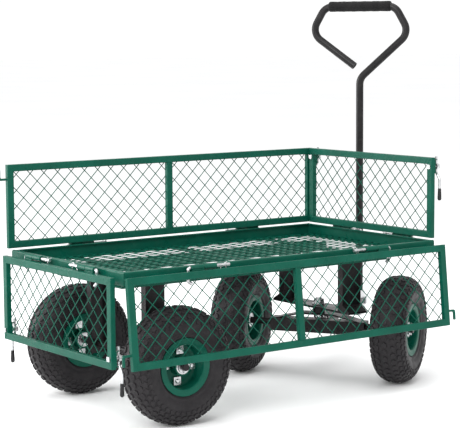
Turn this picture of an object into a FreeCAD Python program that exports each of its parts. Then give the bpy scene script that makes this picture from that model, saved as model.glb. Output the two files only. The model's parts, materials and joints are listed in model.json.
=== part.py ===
"""Garden cart: a steel mesh deck with four fold-down mesh sides, four air-filled wheels,
a steered front axle and a pull handle with a foam grip.

Frame: millimetres, +X forward (towards the handle), +Y left, +Z up. The pieces are made with
Z = 0 on the ground and saved with the origin on top of the mesh floor, in the middle of the deck.
The left side and the front gate stand up, the right side and the rear gate hang folded down,
and the front axle is steered to the left.
"""
import FreeCAD, Part
import math
import os

# ---- deck ----------------------------------------------------------------------------------------
deck_length = 876.0          # outside of the rim, along X
deck_width = 472.0           # outside of the rim, along Y
rim_above_axle = 217.0       # the rim's top above the axles
rim_height = 30.0
rim_wall = 3.0
rim_lip = 9.0                # width of the lip that turns inwards at the top
rim_flange = 22.0            # width of the flange that turns inwards at the bottom
floor_thickness = 2.5
floor_pitch_x = 62.0         # one expanded-metal diamond, the long way
floor_pitch_y = 25.0         # and the short way
floor_strand = 4.5           # width of a strand
rail_inset = 60.0            # two rails run under the floor and stop this far inside the rim
rail_width = 44.0
rail_height = 22.0
rail_wall = 3.0
rail_to_wheel = 89.0         # from a rail's centre line out to the wheel's middle
crossbar_width = 25.0

# ---- folding sides -------------------------------------------------------------------------------
side_overhang = 9.0          # the long sides reach this far past the rim at each end
panel_height = 192.0
bar_width = 16.0             # the frame bars, seen face on
bar_thickness = 12.0
panel_gap = 4.0              # a raised panel stands this far above the rim
panel_inset = 4.0            # its inner face is this far inside the rim's outer face
gate_clearance = 3.0         # between a gate's end and the long sides
mesh_thickness = 2.0
mesh_back = 1.5              # from the panel's outer face to the mesh
mesh_pitch = 36.5            # across one diamond
mesh_wire = 2.4
side_fold = 174.0            # the long sides hang a little open
gate_fold = 180.0

# ---- hinges --------------------------------------------------------------------------------------
hinge_out = 12.0             # hinge axis outside the rim's outer face
hinge_drop = 3.0             # and below the rim's top
pin_diameter = 7.0
pin_clearance = 0.08         # radial, in the hinge tubes
hinge_tube_diameter = 13.0
hinge_tube_length = 33.0
hinge_tube_gap = 0.6         # between the panel's tube and the rim's tube
side_hinge_inset = 193.0     # from the rim's corner to the joint between the tubes, on a long side
gate_hinge_inset = 124.0     # and on an end
pin_head_gap = 6.0           # from the panel's tube to the middle of the pin's bent end
pin_tail = 28.0              # the bent end hangs down this far
pin_toe = 9.0                # and then turns back by this much
pin_toe_drop = 6.0
pin_bend = 5.0
pin_free_end = 36.0          # past the rim's tube, towards the middle
clip_inset = 9.0             # from the pin's free end to the clip
clip_wire = 2.2
clip_bend = 2.2
clip_clearance = 0.1         # radial, in the pin's hole
clip_beside = 0.6            # between the pin and the clip's outer leg
lug_thickness = 5.0
lug_bite = 1.0               # a lug reaches this far into its tube's wall

# ---- latch levers and hooks ----------------------------------------------------------------------
latch_drop = 22.0            # lever's pivot below the panel's top edge
lever_wire = 6.0
lever_stand_off = 11.0       # wire's centre line outside the gate's outer face
lever_reach = 52.0           # from the pivot to the grip
lever_straight = 14.0        # from the pivot to the first bend
lever_jog_end = 30.0         # and to the second
lever_jog = 12.0             # the lever steps outwards to clear the gate's edge
lever_bend = 10.0
lever_nose = 24.0
lever_grip_diameter = 9.5
lever_grip_length = 29.0
lever_grip_end = 4.0         # solid end of the grip, past the wire
lever_eye_diameter = 16.0
lever_bolt_diameter = 6.0
lever_bolt_clearance = 0.06  # radial
lever_bolt_head = 10.0
lever_bolt_head_height = 3.5
lever_side_gap = 0.5         # between the lever and what is beside it on its bolt
bracket_wall = 2.0
bracket_below = 16.0         # the bracket's plate, from the lever's pivot
bracket_above = 18.0
hook_thickness = 4.0
hook_reach = 22.0            # past the end of the long side
hook_bar = 5.0
hook_room = 6.0              # between the latched lever and the hook's bar

# ---- wheels --------------------------------------------------------------------------------------
tyre_diameter = 258.0
tyre_width = 86.0
tyre_wall = 7.0
tread_depth = 10.0
crown_wall = 3.0             # rubber under the tread
tube_gap = 2.0               # between the tyre's inside and the inner tube
tube_side_gap = 7.0          # and at its widest
tube_above_seat = 16.0       # from the bead's seat to the inner tube
tube_wall = 2.0
rim_seat_radius = 50.0       # where the tyre's bead sits
rim_flange_radius = 63.0
rim_half_width = 35.0
rim_plate = 2.5
hub_radius = 19.5
bearing_radius = 17.0
bearing_width = 11.0
bearing_face = 25.0          # bearing's outer face from the wheel's middle
axle_diameter = 16.0
axle_clearance = 0.06        # radial, in the bearings
wheel_bolt_circle = 34.0     # radius
wheel_bolt_diameter = 10.0
wheel_bolt_head = 18.0
wheel_bolt_head_height = 6.0
wheel_bolt_turn = 6.0        # degrees, where the first bolt sits on its circle
wheel_inset = 34.0           # from the rim's outer face in to the wheel's middle
rear_axle_inset = 154.0      # from the deck's rear end to the rear axle
washer_radius = 13.0
washer_thickness = 2.0
washer_clearance = 0.5
split_pin_diameter = 3.0
split_pin_eye = 3.0          # radius of its loop
split_pin_tail = 5.0         # it hangs out below the axle

# ---- legs and front bracket ----------------------------------------------------------------------
leg_width = 50.0             # along X
leg_depth = 18.0             # along Y
leg_wall = 3.0
leg_below_axle = 22.0
kingpin_inset = 160.0        # from the deck's front end to the steering axis
front_leg_width = 56.0
front_plate_thickness = 5.0
front_plate_above_axle = 49.0
front_foot = 24.0            # the feet of the front bracket spread this far outwards
foot_gusset = 14.0           # and rise this much at the leg
leg_bolt_diameter = 8.0
leg_bolt_head = 11.0
leg_bolt_head_height = 5.0

# ---- steering ------------------------------------------------------------------------------------
steer_angle = 32.0           # the axle is turned left by this much
kingpin_diameter = 16.0
kingpin_clearance = 0.08     # radial, in the front plate
kingpin_play = 1.0           # gap above and below the front plate
kingpin_end = 16.0           # from the nut's seat to the pin's top
kingpin_head_radius = 12.8
kingpin_head_height = 7.0
nut_radius = 13.6            # to the corners
nut_height = 13.0
nut_slot_width = 4.0
nut_slot_depth = 5.0
nut_collar = 3.0             # the collar is this much larger than the nut
nut_collar_height = 2.0
beam_to_wheel = 81.0         # from the beam's end out to the wheel's middle
beam_width = 40.0
beam_height = 32.0
beam_drop = 3.0              # the beam's middle is this far below the axle's
beam_wall = 4.0
bridge_above_axle = 29.0
bridge_wall = 4.0
bridge_flat = 42.0           # half length of the bridge's level middle
bridge_foot = 10.0           # the bridge lands this far inside the beam's end
sleeve_radius = 15.0
pivot_reach = 335.0          # from the steering axis to the handle's pivot
pivot_above_axle = 9.0
tongue_width = 34.0
tongue_height = 22.0
tongue_wall = 3.0
tongue_short = 30.0          # tongue stops this far short of the handle's pivot
clevis_wall = 3.0
clevis_below = 36.3          # the cheeks, below and above the handle's pivot
clevis_above = 29.7
clevis_length = 44.0
clevis_chamfer = 14.0
clevis_clearance = 1.0       # between the cheeks and the handle

# ---- handle --------------------------------------------------------------------------------------
handle_diameter = 19.0
handle_wall = 2.0
handle_post = 582.0          # from the pivot to the post's bend
handle_foot = 18.0           # the post's end below the pivot
loop_half_width = 132.0      # to the loop's lower corners
loop_shoulder = 700.0        # height of those corners above the pivot
loop_top_half_width = 94.0   # to its upper corners
loop_top = 768.0             # height of the grip
loop_bend = 34.0             # radius of every bend
open_end_side = 14.0         # the loop's free end stops beside the post
open_end_height = 614.0
grip_wall = 3.7
grip_length = 166.0
grip_gap = 0.3
handle_bolt_diameter = 10.0
handle_bolt_clearance = 0.08 # radial, in the handle
handle_bolt_head = 16.0
handle_bolt_head_height = 7.0

# ---- places worked out from the sizes above ------------------------------------------------------
axle_height = tyre_diameter / 2.0
half_length = deck_length / 2.0
half_width = deck_width / 2.0
rear_axle_place = rear_axle_inset - half_length
kingpin_place = half_length - kingpin_inset
side_hinge_place = half_length - side_hinge_inset
gate_hinge_place = half_width - gate_hinge_inset
half_track = half_width - wheel_inset
leg_place = half_track - rail_to_wheel
rim_top = axle_height + rim_above_axle
front_plate_top = axle_height + front_plate_above_axle
bridge_top = axle_height + bridge_above_axle
pivot_height = axle_height + pivot_above_axle
rim_bottom = rim_top - rim_height
rail_bottom = rim_bottom - rail_height
floor_top = rim_bottom + rim_wall + floor_thickness
hinge_height = rim_top - hinge_drop
panel_inner = -(hinge_out + panel_inset)          # inner face, measured outwards from the hinge axis
panel_outer = panel_inner + bar_thickness
panel_bottom = hinge_drop + panel_gap             # lower edge, measured up from the hinge axis
panel_top = panel_bottom + panel_height
side_length = deck_length + 2 * side_overhang
gate_length = deck_width - 2 * (panel_inset + gate_clearance)
clevis_place = pivot_reach - tongue_short
UP = FreeCAD.Vector(0, 0, 1)
ALONG = FreeCAD.Vector(1, 0, 0)
ACROSS = FreeCAD.Vector(0, 1, 0)
ORIGIN = FreeCAD.Vector(0, 0, 0)


# ---- small helpers -------------------------------------------------------------------------------
def vec(x, y, z):
    return FreeCAD.Vector(x, y, z)


def box(x0, x1, y0, y1, z0, z1):
    return Part.makeBox(x1 - x0, y1 - y0, z1 - z0, vec(x0, y0, z0))


def rod(radius, start, end):
    return Part.makeCylinder(radius, (end - start).Length, start, end - start)


def ring(outer, inner, start, end):
    return rod(outer, start, end).cut(rod(inner, start, end))


def fuse(shapes):
    whole = shapes[0].fuse(shapes[1:]) if len(shapes) > 1 else shapes[0]
    return whole.removeSplitter()


def group(shapes):
    return Part.makeCompound(shapes)


def moved(shape, offset):
    copy = shape.copy()
    copy.translate(offset)
    return copy


def save(name, shape):
    moved(shape, vec(0, 0, -floor_top)).exportStep("parts/" + name + ".step")


def turned(shape, centre, axis, angle):
    copy = shape.copy()
    copy.rotate(centre, axis, angle)
    return copy


def mirrored(shape, normal):
    return shape.mirror(ORIGIN, normal)


def prism(points, direction):
    """A closed flat outline pushed along a direction."""
    return Part.Face(Part.makePolygon(points + points[:1])).extrude(direction)


def turned_profile(points):
    """A closed outline of (radius, along) points, turned into a ring about the Y axis."""
    corners = [vec(radius, along, 0) for radius, along in points]
    face = Part.Face(Part.makePolygon(corners + corners[:1]))
    return face.revolve(ORIGIN, ACROSS, 360)


def bent_line(points, bend):
    """Straight runs joined by tangent arcs of one radius."""
    edges = []
    last = points[0]
    for before, corner, after in zip(points, points[1:], points[2:]):
        toward = (before - corner).normalize()
        away = (after - corner).normalize()
        turn = math.pi - toward.getAngle(away)
        cut = bend * math.tan(turn / 2)
        start = corner + toward * cut
        end = corner + away * cut
        inward = (toward + away).normalize()
        middle = corner + inward * (bend / math.cos(turn / 2) - bend)
        edges.append(Part.LineSegment(last, start).toShape())
        edges.append(Part.Arc(start, middle, end).toShape())
        last = end
    edges.append(Part.LineSegment(last, points[-1]).toShape())
    return Part.Wire(edges)


def bent_rod(points, radius, bend):
    """A round bar that follows a bent line."""
    path = bent_line(points, bend)
    first = points[1] - points[0]
    circle = Part.Wire([Part.makeCircle(radius, points[0], first)])
    return path.makePipeShell([circle], True, False)


def square_bolt(radius, head, head_height, start, end):
    """A bolt with a square head at its start and a square nut at its end."""
    axis = (end - start).normalize()
    shank = rod(radius, start, end)
    side = axis.cross(UP) if abs(axis.dot(UP)) < 0.5 else axis.cross(ALONG)
    side = side.normalize()
    other = axis.cross(side)
    blocks = []
    for base in (start - axis * head_height, end):
        corners = [base + side * (a * head / 2) + other * (b * head / 2)
                   for a, b in ((-1, -1), (1, -1), (1, 1), (-1, 1))]
        blocks.append(prism(corners, axis * head_height))
    return fuse([shank] + blocks)


def on_deck_side(shape, side):
    """Puts a shape made for the hinge line of a side, with +Y outwards, at that side of the deck."""
    angle = {"left": 0, "right": 180, "front": -90, "rear": 90}[side]
    reach = half_width if side in ("left", "right") else half_length
    placed = moved(shape, vec(0, reach + hinge_out, hinge_height))
    return turned(placed, ORIGIN, UP, angle)


def folded(shape, angle):
    """Swings a shape outwards and down about the hinge line."""
    return turned(shape, ORIGIN, ALONG, -angle) if angle else shape


# ---- deck ----------------------------------------------------------------------------------------
def rim_bar(length, reach):
    """One side of the rim, along X, with mitred ends. Its outer face is at Y = reach."""
    outline = [(reach, rim_height), (reach - rim_lip, rim_height), (reach - rim_lip, rim_height - rim_wall),
               (reach - rim_wall, rim_height - rim_wall), (reach - rim_wall, rim_wall),
               (reach - rim_flange, rim_wall), (reach - rim_flange, 0), (reach, 0)]
    corners = [vec(-length / 2, across, up) for across, up in outline]
    bar = prism(corners, vec(length, 0, 0))
    wedge = [vec(-length / 2, reach, 0), vec(length / 2, reach, 0),
             vec(length / 2 - reach, 0, 0), vec(-length / 2 + reach, 0, 0)]
    return bar.common(prism(wedge, vec(0, 0, rim_height)))


def hinge_spans(place):
    """Spans along a side of the rim's tube and the panel's tube, for the hinge on the +X half."""
    rim_tube = (place - hinge_tube_length, place - hinge_tube_gap / 2)
    panel_tube = (place + hinge_tube_gap / 2, place + hinge_tube_length)
    return rim_tube, panel_tube


def hinge_tube(span):
    bore = pin_diameter / 2 + pin_clearance
    return ring(hinge_tube_diameter / 2, bore, vec(span[0], 0, 0), vec(span[1], 0, 0))


def rim_hinges(place):
    """The rim's hinge tubes with the lugs that hold them, on both halves of a side."""
    rim_tube, _ = hinge_spans(place)
    tube = hinge_tube(rim_tube)
    lug = box(rim_tube[0], rim_tube[1], -hinge_out, 0, -lug_thickness, 0)
    lug = lug.cut(rod(hinge_tube_diameter / 2 - lug_bite, vec(rim_tube[0], 0, 0), vec(rim_tube[1], 0, 0)))
    one = fuse([tube, lug])
    return [one, mirrored(one, ALONG)]


def deck_rim():
    pieces = []
    for side, length, reach in (("left", deck_length, half_width), ("right", deck_length, half_width),
                                ("front", deck_width, half_length), ("rear", deck_width, half_length)):
        angle = {"left": 0, "right": 180, "front": -90, "rear": 90}[side]
        bar = moved(rim_bar(length, reach), vec(0, 0, rim_bottom))
        pieces.append(turned(bar, ORIGIN, UP, angle))
        place = side_hinge_place if side in ("left", "right") else gate_hinge_place
        pieces += [on_deck_side(hinge, side) for hinge in rim_hinges(place)]
    return fuse(pieces)


def lattice(x0, x1, y0, y1, pitch_x, pitch_y, strand, thickness):
    """A flat sheet of crossing strands: a rectangle with diamond openings, without loose corner bits."""
    sheet = Part.Face(Part.makePolygon([vec(x0, y0, 0), vec(x1, y0, 0), vec(x1, y1, 0), vec(x0, y1, 0),
                                        vec(x0, y0, 0)]))
    slope = math.hypot(pitch_x, pitch_y)
    reach_x = pitch_x / 2 - strand * slope / (2 * pitch_y)
    reach_y = pitch_y / 2 - strand * slope / (2 * pitch_x)
    middle_x = (x0 + x1) / 2
    middle_y = (y0 + y1) / 2
    columns = int((x1 - x0) / pitch_x) + 2
    rows = int((y1 - y0) / pitch_y) + 2
    openings = []
    for column in range(-columns, columns + 1):
        for row in range(-rows, rows + 1):
            if (column + row) % 2 == 0:
                continue
            cx = middle_x + column * pitch_x / 2
            cy = middle_y + row * pitch_y / 2
            if not (x0 - reach_x < cx < x1 + reach_x and y0 - reach_y < cy < y1 + reach_y):
                continue
            corners = [vec(cx - reach_x, cy, 0), vec(cx, cy - reach_y, 0), vec(cx + reach_x, cy, 0),
                       vec(cx, cy + reach_y, 0)]
            openings.append(Part.Face(Part.makePolygon(corners + corners[:1])))
    joined = max(sheet.cut(openings).Faces, key=lambda face: face.Area)
    return joined.extrude(vec(0, 0, thickness))


def deck_floor():
    reach_x = half_length - rim_wall
    reach_y = half_width - rim_wall
    sheet = lattice(-reach_x, reach_x, -reach_y, reach_y, floor_pitch_x, floor_pitch_y,
                    floor_strand, floor_thickness)
    return moved(sheet, vec(0, 0, rim_bottom + rim_wall))


def leg_bolt_places(width):
    return (-width / 4, width / 4)


def deck_rail(side):
    """An open channel under the floor, with holes for the leg bolts in its bottom."""
    centre = side * leg_place
    end = half_length - rail_inset
    outer = box(-end, end, centre - rail_width / 2, centre + rail_width / 2, rail_bottom, rim_bottom)
    inner = box(-end, end, centre - rail_width / 2 + rail_wall, centre + rail_width / 2 - rail_wall,
                rail_bottom + rail_wall, rim_bottom)
    rail = outer.cut(inner)
    holes = [rod(leg_bolt_diameter / 2, vec(x, centre, rail_bottom), vec(x, centre, rail_bottom + rail_wall))
             for x in all_leg_bolts()]
    return rail.cut(holes)


def all_leg_bolts():
    rear = [rear_axle_place + offset for offset in leg_bolt_places(leg_width)]
    front = [kingpin_place + offset for offset in leg_bolt_places(front_leg_width)]
    return rear + front


def deck_underframe():
    bars = [box(x - crossbar_width / 2, x + crossbar_width / 2, -(half_width - rim_flange),
                half_width - rim_flange, rim_bottom, rim_bottom + rim_wall)
            for x in (rear_axle_place, 0, kingpin_place)]
    return group([deck_rail(-1), deck_rail(1)] + bars)


def leg_bolts():
    bolts = []
    for side in (-1, 1):
        for x in all_leg_bolts():
            low = vec(x, side * leg_place, rail_bottom - leg_wall)
            high = vec(x, side * leg_place, rail_bottom + rail_wall)
            bolts.append(square_bolt(leg_bolt_diameter / 2, leg_bolt_head, leg_bolt_head_height, low, high))
    return group(bolts)


def rear_leg(side):
    """A channel that hangs from the rail and carries the axle: open towards the cart's middle."""
    centre = side * leg_place
    face = centre + side * leg_depth / 2
    back = centre - side * leg_depth / 2
    low = axle_height - leg_below_axle
    x0 = rear_axle_place - leg_width / 2
    x1 = rear_axle_place + leg_width / 2
    y0, y1 = sorted((face, back))
    outer = box(x0, x1, y0, y1, low, rail_bottom)
    web_inner = face - side * leg_wall
    hollow_y = sorted((back, web_inner))
    hollow = box(x0 + leg_wall, x1 - leg_wall, hollow_y[0], hollow_y[1], low, rail_bottom - leg_wall)
    leg = outer.cut(hollow)
    axle_hole = rod(axle_diameter / 2, vec(rear_axle_place, y0, axle_height),
                    vec(rear_axle_place, y1, axle_height))
    return leg.cut([axle_hole] + leg_bolt_holes(rear_axle_place, leg_width, side))


def leg_bolt_holes(place, width, side):
    """Holes in the top of a leg, under its rail."""
    holes = []
    for offset in leg_bolt_places(width):
        low = vec(place + offset, side * leg_place, rail_bottom - leg_wall)
        holes.append(rod(leg_bolt_diameter / 2, low, low + UP * leg_wall))
    return holes


# ---- folding sides -------------------------------------------------------------------------------
def panel_frame(length, place, middle_bar):
    """A rectangular frame, standing up, made on the hinge line with its tubes below it."""
    half = length / 2
    outer = box(-half, half, panel_inner, panel_outer, panel_bottom, panel_top)
    opening = box(-half + bar_width, half - bar_width, panel_inner, panel_outer,
                  panel_bottom + bar_width, panel_top - bar_width)
    frame = outer.cut(opening)
    pieces = [frame]
    if middle_bar:
        pieces.append(box(-bar_width / 2, bar_width / 2, panel_inner, panel_outer,
                          panel_bottom, panel_top))
    _, span = hinge_spans(place)
    tube = hinge_tube(span)
    radius = hinge_tube_diameter / 2 - lug_bite
    lug = box(span[0], span[1], panel_outer - lug_thickness / 2, panel_outer, 0, panel_bottom)
    lug = lug.cut(rod(radius, vec(span[0], 0, 0), vec(span[1], 0, 0)))
    one = fuse([tube, lug])
    return fuse(pieces + [one, mirrored(one, ALONG)])


def panel_mesh(length, middle_bar):
    """The mesh that fills the frame's openings, lying near its outer face."""
    half = length / 2 - bar_width
    low = panel_bottom + bar_width
    high = panel_top - bar_width
    bays = [(-half, -bar_width / 2), (bar_width / 2, half)] if middle_bar else [(-half, half)]
    sheets = []
    for start, end in bays:
        sheet = lattice(start, end, low, high, mesh_pitch, mesh_pitch, mesh_wire, mesh_thickness)
        upright = turned(sheet, ORIGIN, ALONG, 90)
        sheets.append(moved(upright, vec(0, panel_outer - mesh_back, 0)))
    return group(sheets) if len(sheets) > 1 else sheets[0]


def latch_hook(end):
    """The hook past one end of a long side: a plate that runs outwards and turns up."""
    low = panel_top - latch_drop - lever_wire / 2 - hook_room - hook_bar
    tip_top = panel_top - latch_drop / 2
    middle = (panel_inner + panel_outer) / 2
    outline = [(0, low), (hook_reach, low), (hook_reach, tip_top), (hook_reach - hook_bar, tip_top),
               (hook_reach - hook_bar, low + hook_bar), (0, low + hook_bar)]
    start = side_length / 2
    corners = [vec(end * (start + along), middle - hook_thickness / 2, up) for along, up in outline]
    return prism(corners, vec(0, hook_thickness, 0))


def side_frame():
    frame = panel_frame(side_length, side_hinge_place, True)
    return fuse([frame, latch_hook(1), latch_hook(-1)])


def latch_pivot(end):
    """Where a lever turns, in the gate's hinge frame: end is +1 or -1."""
    return vec(end * (gate_length / 2 - bar_width / 2), panel_outer, panel_top - latch_drop)


def lever_bracket(end):
    """A small folded plate on the gate's corner, between the frame and the lever."""
    pivot = latch_pivot(end)
    half = bar_width / 2
    low = pivot.z - bracket_below
    high = pivot.z + bracket_above
    front = pivot.y + lever_stand_off - lever_wire / 2 - lever_side_gap
    plate = box(pivot.x - half, pivot.x + half, pivot.y, pivot.y + bracket_wall, low, high)
    flanges = [box(pivot.x - half, pivot.x + half, pivot.y, front, z, z + bracket_wall)
               for z in (low, high - bracket_wall)]
    return fuse([plate] + flanges)


def lever_bolt_hole(end):
    pivot = latch_pivot(end)
    return rod(lever_bolt_diameter / 2, vec(pivot.x, panel_inner, pivot.z),
               vec(pivot.x, pivot.y + bracket_wall, pivot.z))


def gate_frame():
    frame = panel_frame(gate_length, gate_hinge_place, False)
    whole = fuse([frame, lever_bracket(1), lever_bracket(-1)])
    return whole.cut([lever_bolt_hole(1), lever_bolt_hole(-1)])


def lever_bolts():
    bolts = []
    for end in (-1, 1):
        pivot = latch_pivot(end)
        start = vec(pivot.x, panel_inner, pivot.z)
        stop = vec(pivot.x, pivot.y + lever_stand_off + lever_wire / 2 + lever_side_gap, pivot.z)
        bolts.append(square_bolt(lever_bolt_diameter / 2, lever_bolt_head, lever_bolt_head_height,
                                 start, stop))
    return group(bolts)


def lever_parts(end, turn):
    """A wire lever and its grip. turn is -1 where the lever points down the gate, else +1."""
    pivot = latch_pivot(end)
    y = pivot.y + lever_stand_off
    radius = lever_wire / 2
    side = pivot.x + end * lever_jog
    grip_start = pivot.z + turn * lever_reach
    grip_end = grip_start + turn * lever_grip_length
    wire_end = grip_end - turn * lever_grip_end
    path = [vec(pivot.x, y, pivot.z), vec(pivot.x, y, pivot.z + turn * lever_straight),
            vec(side, y, pivot.z + turn * lever_jog_end), vec(side, y, wire_end)]
    wire = bent_rod(path, radius, lever_bend)
    nose = rod(radius, vec(pivot.x, y, pivot.z), vec(pivot.x, y, pivot.z - turn * lever_nose))
    inner = vec(pivot.x, y - radius, pivot.z)
    outer = vec(pivot.x, y + radius, pivot.z)
    eye = rod(lever_eye_diameter / 2, inner, outer)
    bore = rod(lever_bolt_diameter / 2 + lever_bolt_clearance, inner, outer)
    lever = fuse([wire, nose, eye]).cut(bore)
    grip = rod(lever_grip_diameter / 2, vec(side, y, grip_start), vec(side, y, grip_end))
    return lever, grip.cut(rod(radius, vec(side, y, grip_start), vec(side, y, wire_end)))


# ---- hinge pins ----------------------------------------------------------------------------------
def hinge_pin(place):
    """A round pin through both tubes: its outer end bends down, its inner end takes a clip."""
    rim_tube, panel_tube = hinge_spans(place)
    head = panel_tube[1] + pin_head_gap
    points = [vec(rim_tube[0] - pin_free_end, 0, 0), vec(head, 0, 0), vec(head, 0, -pin_tail),
              vec(head - pin_toe, 0, -pin_tail - pin_toe_drop)]
    pin = bent_rod(points, pin_diameter / 2, pin_bend)
    x = clip_place(place)
    hole = rod(clip_wire / 2 + clip_clearance, vec(x, 0, -pin_diameter), vec(x, 0, pin_diameter))
    return pin.cut(hole)


def clip_place(place):
    rim_tube, _ = hinge_spans(place)
    return rim_tube[0] - pin_free_end + clip_inset


def hinge_clip(place):
    """A spring clip: one straight leg through the pin, one bowed leg beside it, towards the rim."""
    x = clip_place(place)
    beside = -(pin_diameter / 2 + clip_wire / 2 + clip_beside)
    points = [vec(x, 0, 6), vec(x, 0, -11), vec(x + 5, beside * 0.5, -17), vec(x + 13, beside, -12),
              vec(x + 9, beside, -4), vec(x + 2, beside, 1), vec(x - 6, beside, 5)]
    return bent_rod(points, clip_wire / 2, clip_bend)


def hinge_hardware():
    pins = []
    clips = []
    for side in ("left", "right", "front", "rear"):
        place = side_hinge_place if side in ("left", "right") else gate_hinge_place
        for flip in (False, True):
            pin = hinge_pin(place)
            clip = hinge_clip(place)
            if flip:
                pin = mirrored(pin, ALONG)
                clip = mirrored(clip, ALONG)
            pins.append(on_deck_side(pin, side))
            clips.append(on_deck_side(clip, side))
    return group(pins), group(clips)


# ---- wheels --------------------------------------------------------------------------------------
def both_sides(points):
    """The same outline points on the other side of the wheel's middle plane."""
    return [(radius, -along) for radius, along in points]


def tyre():
    half = tyre_width / 2
    outer = tyre_diameter / 2
    bead_out = rim_half_width - rim_plate
    bulge = rim_flange_radius + (outer - rim_flange_radius) * 0.45
    crown = outer - tread_depth - crown_wall
    outside = [(rim_seat_radius, bead_out), (rim_flange_radius, bead_out),
               (rim_flange_radius + 6, bead_out + 5), (bulge, half), (outer - 14, half - 5),
               (outer - 7, half - 11), (outer, half - 24)]
    inside = [(rim_seat_radius, bead_out - 12), (rim_seat_radius + 14, bead_out - 9),
              (bulge, half - tyre_wall), (crown - 7, half - 16), (crown, half - 28)]
    outline = outside + both_sides(outside[::-1]) + both_sides(inside) + inside[::-1]
    return turned_profile(outline)


def inner_tube():
    """The air tube inside the tyre, a closed hollow ring."""
    low = rim_seat_radius + tube_above_seat
    high = tyre_diameter / 2 - tread_depth - crown_wall - tube_gap
    half = tyre_width / 2 - tyre_wall - tube_side_gap
    return turned_profile(oval(low, high, half)).cut(
        turned_profile(oval(low + tube_wall, high - tube_wall, half - tube_wall)))


def oval(low, high, half):
    """An eight-sided outline between two radii."""
    corner = (high - low) * 0.275
    middle = (high + low) / 2
    shoulder = corner / 2
    upper = [(high, -half + corner), (middle + shoulder, -half), (middle - shoulder, -half),
             (low, -half + corner)]
    return upper + both_sides(upper[::-1])


def rim_half(side):
    """One pressed half of the split rim, with a cup for its bearing in the middle."""
    dish = rim_seat_radius - rim_plate
    flange = rim_half_width - rim_plate
    outline = [(bearing_radius, 0), (rim_seat_radius, 0), (rim_seat_radius, flange),
               (rim_flange_radius, flange), (rim_flange_radius, rim_half_width),
               (dish, rim_half_width), (dish, rim_plate),
               (hub_radius, rim_plate), (hub_radius, bearing_face), (bearing_radius, bearing_face)]
    holes = [rod(wheel_bolt_diameter / 2, vec(x, 0, z), vec(x, rim_plate, z)) for x, z in wheel_bolt_places()]
    half = turned_profile(outline).cut(holes)
    return half if side > 0 else mirrored(half, ACROSS)


def wheel_bolt_places():
    angles = [math.radians(90 * n + wheel_bolt_turn) for n in range(4)]
    return [(wheel_bolt_circle * math.cos(a), wheel_bolt_circle * math.sin(a)) for a in angles]


def wheel_bolts():
    return group([square_bolt(wheel_bolt_diameter / 2, wheel_bolt_head, wheel_bolt_head_height,
                              vec(x, -rim_plate, z), vec(x, rim_plate, z)) for x, z in wheel_bolt_places()])


def wheel_bearings():
    bore = axle_diameter / 2 + axle_clearance
    outer_face = vec(0, bearing_face, 0)
    inner_face = vec(0, bearing_face - bearing_width, 0)
    bearing = ring(bearing_radius, bore, inner_face, outer_face)
    return group([bearing, mirrored(bearing, ACROSS)])


def wheel():
    """The pieces of one wheel about the Y axis, by name."""
    return {"tyre": tyre(), "inner_tube": inner_tube(), "rim": group([rim_half(1), rim_half(-1)]),
            "wheel_bolts": wheel_bolts(), "bearings": wheel_bearings()}


def axle_end():
    """From the wheel's middle to the axle's end."""
    return bearing_face + washer_clearance + washer_thickness + 3 * split_pin_diameter


def axle():
    half = half_track + axle_end()
    bar = rod(axle_diameter / 2, vec(0, -half, 0), vec(0, half, 0))
    holes = []
    for side in (-1, 1):
        y = side * split_pin_place()
        holes.append(rod(split_pin_diameter / 2, vec(0, y, -axle_diameter), vec(0, y, axle_diameter)))
    return bar.cut(holes)


def split_pin_place():
    return half_track + bearing_face + washer_clearance + washer_thickness + split_pin_diameter


def axle_fasteners():
    """A washer and a split pin at each end of an axle."""
    pieces = []
    for side in (-1, 1):
        start = side * (half_track + bearing_face + washer_clearance)
        end = start + side * washer_thickness
        pieces.append(ring(washer_radius, axle_diameter / 2, vec(0, start, 0), vec(0, end, 0)))
        y = side * split_pin_place()
        top = axle_diameter / 2 + split_pin_eye
        low = -axle_diameter / 2 - split_pin_tail
        shank = rod(split_pin_diameter / 2, vec(0, y, low), vec(0, y, top - 1))
        eye = Part.makeTorus(split_pin_eye, split_pin_diameter / 2 - 0.3, vec(0, y, top + 1), ALONG)
        pieces.append(fuse([shank, eye]))
    return group(pieces)


# ---- front bracket and kingpin -------------------------------------------------------------------
def front_leg(side):
    """A channel under a rail, open towards the middle, with a foot that spreads outwards."""
    x0 = kingpin_place - front_leg_width / 2
    x1 = kingpin_place + front_leg_width / 2
    low = front_plate_top - front_plate_thickness
    inner = side * (leg_place - leg_depth / 2)
    outer = side * (leg_place + leg_depth / 2)
    web = outer - side * leg_wall
    block = box(x0, x1, min(inner, outer), max(inner, outer), low, rail_bottom)
    hollow = box(x0 + leg_wall, x1 - leg_wall, min(inner, web), max(inner, web), front_plate_top,
                 rail_bottom - leg_wall)
    toe = outer + side * front_foot
    outline = [vec(x0, outer, low), vec(x0, toe, low), vec(x0, toe, front_plate_top),
               vec(x0, outer, front_plate_top + foot_gusset)]
    foot = prism(outline, vec(front_leg_width, 0, 0))
    return fuse([block.cut(hollow), foot])


def front_bracket():
    """Two legs under the rails, joined by the plate that holds the kingpin."""
    low = front_plate_top - front_plate_thickness
    plate = box(kingpin_place - front_leg_width / 2, kingpin_place + front_leg_width / 2,
                -leg_place, leg_place, low, front_plate_top)
    bracket = fuse([front_leg(-1), front_leg(1), plate])
    bore = rod(kingpin_diameter / 2 + kingpin_clearance, vec(kingpin_place, 0, low),
               vec(kingpin_place, 0, front_plate_top))
    bolt_holes = [hole for side in (-1, 1) for hole in leg_bolt_holes(kingpin_place, front_leg_width, side)]
    return bracket.cut([bore] + bolt_holes)


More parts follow.
